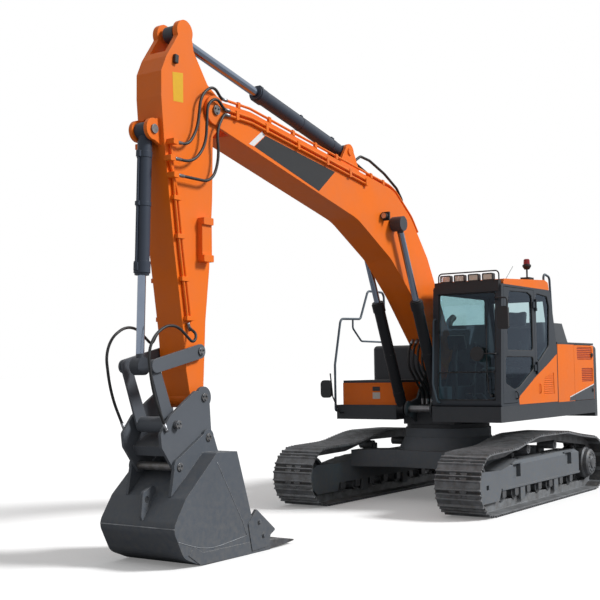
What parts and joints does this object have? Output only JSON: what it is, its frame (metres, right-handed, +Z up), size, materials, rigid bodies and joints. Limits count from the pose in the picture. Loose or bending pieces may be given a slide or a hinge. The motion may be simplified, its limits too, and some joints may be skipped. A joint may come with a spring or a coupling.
{
  "type": "crawler excavator",
  "caption": "Tracked hydraulic excavator: swinging upper structure with cab, two-piece digging equipment, quick coupler and general-purpose bucket.",
  "frame": {"origin": "on the ground, on the axis that the upper structure swings about", "axes": "+X forward along the boom, +Y to the left (cab side), +Z up"},
  "size_m": [9.3068, 3, 5.278],
  "materials": {
    "track": "worn track steel",
    "undercarriage_paint": "semi-gloss grey paint",
    "roller": "painted cast steel",
    "deck_paint": "semi-gloss dark grey paint",
    "weight_paint": "painted casting",
    "body_paint": "gloss orange paint",
    "cab_paint": "semi-gloss grey paint",
    "glass": "tinted safety glass",
    "seat": "woven seat cloth",
    "engine": "painted casting",
    "barrel": "dark grey-blue paint",
    "rod": "hard chrome",
    "pin": "machined steel",
    "link_paint": "dark grey painted steel",
    "bucket_paint": "dark grey paint",
    "teeth": "cast steel",
    "hose": "matt rubber cover",
    "pipe": "painted steel pipe",
    "trim": "matt moulded plastic",
    "amber": "clear amber plastic",
    "exhaust": "heat-stained steel"
  },
  "bodies": {
    "undercarriage": {"car_body": "undercarriage_paint", "slewing_ring": "undercarriage_paint", "side_frame_left": "undercarriage_paint", "side_frame_right": "undercarriage_paint", "track_left": "track", "track_right": "track", "idlers": "roller", "final_drives": "roller", "track_rollers": "roller", "carrier_rollers": "roller"},
    "upper": {"revolving_frame": "deck_paint", "counterweight": "weight_paint", "body_frame": "deck_paint", "side_panels": "body_paint", "engine_block": "engine", "valve_cover": "deck_paint", "storage_box": "body_paint", "fuel_tank": "deck_paint", "cab_shell": "cab_paint", "cab_roof": "body_paint", "cab_glass": "glass", "operator_seat": "seat", "upper_pins": "pin", "cab_side_cover": "body_paint", "handrails": "cab_paint", "roof_lamps": "trim", "beacon": "amber", "mirrors": "trim", "cab_console": "trim", "exhaust": "exhaust", "boom_hoses": "hose"},
    "cab_door": {"cab_door": "cab_paint", "door_glass": "glass"},
    "service_door_left": {"service_door_left": "body_paint"},
    "service_door_right": {"service_door_right": "body_paint"},
    "engine_hood": {"engine_hood": "deck_paint"},
    "storage_lid": {"storage_lid": "deck_paint"},
    "boom": {"boom": "body_paint", "crowd_bracket": "body_paint", "arm_pin": "pin", "boom_pipes": "pipe", "crowd_hoses": "hose", "boom_lamps": "trim", "arm_hoses": "hose"},
    "boom_cylinder_barrels": {"boom_cylinder_barrel": "barrel"},
    "boom_cylinder_rods": {"boom_cylinder_rod": "rod"},
    "arm": {"arm": "body_paint", "arm_link_pins": "pin", "arm_pipes": "pipe", "coupler_hoses": "hose"},
    "arm_cylinder_barrel": {"arm_cylinder_barrel": "barrel"},
    "arm_cylinder_rod": {"arm_cylinder_rod": "rod"},
    "bucket_cylinder_barrel": {"bucket_cylinder_barrel": "barrel"},
    "bucket_cylinder_rod": {"bucket_cylinder_rod": "rod"},
    "guide_links": {"guide_links": "link_paint"},
    "connecting_link": {"connecting_link": "link_paint"},
    "bucket": {"bucket": "bucket_paint", "bucket_teeth": "teeth", "coupler": "link_paint", "bucket_pins": "pin"}
  },
  "joints": [
    {"name": "swing", "type": "hinge", "parent": "undercarriage", "child": "upper", "pos_m": [0, 0, 1], "axis": [0, 0, 1], "continuous": true},
    {"name": "boom_lift", "type": "hinge", "parent": "upper", "child": "boom", "pos_m": [0.18, 0, 1.8], "axis": [0, -1, 0], "range_deg": [-64, 36], "deforming": ["boom_hoses"]},
    {"name": "boom_barrel_swing", "type": "hinge", "parent": "upper", "child": "boom_cylinder_barrels", "pos_m": [0.8, 0, 1.26], "axis": [0, -1, 0], "range_deg": [-63.22, 35.78]},
    {"name": "boom_rod_slide", "type": "slide", "parent": "boom_cylinder_barrels", "child": "boom_cylinder_rods", "axis": [0.4008, 0, 0.9162], "range_m": [-0.8084, 0.456]},
    {"name": "arm_crowd", "type": "hinge", "parent": "boom", "child": "arm", "pos_m": [5.44, 0, 4.45], "axis": [0, 1, 0], "range_deg": [-92, 32], "deforming": ["arm_hoses"]},
    {"name": "arm_barrel_swing", "type": "hinge", "parent": "boom", "child": "arm_cylinder_barrel", "pos_m": [2.75, 0, 4.47], "axis": [0, 1, 0], "range_deg": [-6.94, 2.74]},
    {"name": "arm_rod_slide", "type": "slide", "parent": "arm_cylinder_barrel", "child": "arm_cylinder_rod", "axis": [0.9764, 0, 0.2159], "range_m": [-1.0756, 0.3761]},
    {"name": "bucket_curl", "type": "hinge", "parent": "arm", "child": "bucket", "pos_m": [5.73, 0, 1.552], "axis": [0, 1, 0], "range_deg": [-70, 102], "deforming": ["coupler_hoses"]},
    {"name": "bucket_barrel_swing", "type": "hinge", "parent": "arm", "child": "bucket_cylinder_barrel", "pos_m": [6.28, 0, 4.12], "axis": [0, 1, 0], "range_deg": [-4.35, 6.11]},
    {"name": "bucket_rod_slide", "type": "slide", "parent": "bucket_cylinder_barrel", "child": "bucket_cylinder_rod", "axis": [0.0376, 0, -0.9993], "range_m": [-0.4363, 0.6344]},
    {"name": "guide_link_swing", "type": "hinge", "parent": "arm", "child": "guide_links", "pos_m": [5.73, 0, 2], "axis": [0, 1, 0], "range_deg": [-43.9, 63.74]},
    {"name": "connecting_link_swing", "type": "hinge", "parent": "bucket", "child": "connecting_link", "pos_m": [6.15, 0, 1.306], "axis": [0, 1, 0], "range_deg": [-64.76, 44.6]},
    {"name": "cab_door_swing", "type": "hinge", "parent": "upper", "child": "cab_door", "pos_m": [0.035, 1.377, 2], "axis": [0, 0, 1], "range_deg": [0, 160]},
    {"name": "service_door_left_swing", "type": "hinge", "parent": "upper", "child": "service_door_left", "pos_m": [-1.418, 1.367, 1.7], "axis": [0, 0, -1], "range_deg": [0, 100]},
    {"name": "service_door_right_swing", "type": "hinge", "parent": "upper", "child": "service_door_right", "pos_m": [-1.418, -1.367, 1.7], "axis": [0, 0, 1], "range_deg": [0, 100]},
    {"name": "engine_hood_lift", "type": "hinge", "parent": "upper", "child": "engine_hood", "pos_m": [-1.175, 0, 2.172], "axis": [0, 1, 0], "range_deg": [0, 60]},
    {"name": "storage_lid_lift", "type": "hinge", "parent": "upper", "child": "storage_lid", "pos_m": [-0.097, -0.85, 1.612], "axis": [0, -1, 0], "range_deg": [0, 70]}
  ],
  "couplings": [
    {"joint": "boom_barrel_swing", "follows": "boom_lift", "ratio": 0.98},
    {"joint": "boom_rod_slide", "follows": "boom_lift", "m_per_rad": 0.721},
    {"joint": "arm_barrel_swing", "follows": "arm_crowd", "ratio": 0.07},
    {"joint": "arm_rod_slide", "follows": "arm_crowd", "m_per_rad": 0.668},
    {"joint": "bucket_barrel_swing", "follows": "bucket_curl", "ratio": 0.055},
    {"joint": "bucket_rod_slide", "follows": "bucket_curl", "m_per_rad": 0.3547},
    {"joint": "guide_link_swing", "follows": "bucket_curl", "ratio": 0.62},
    {"joint": "connecting_link_swing", "follows": "bucket_curl", "ratio": -0.63}
  ]
}
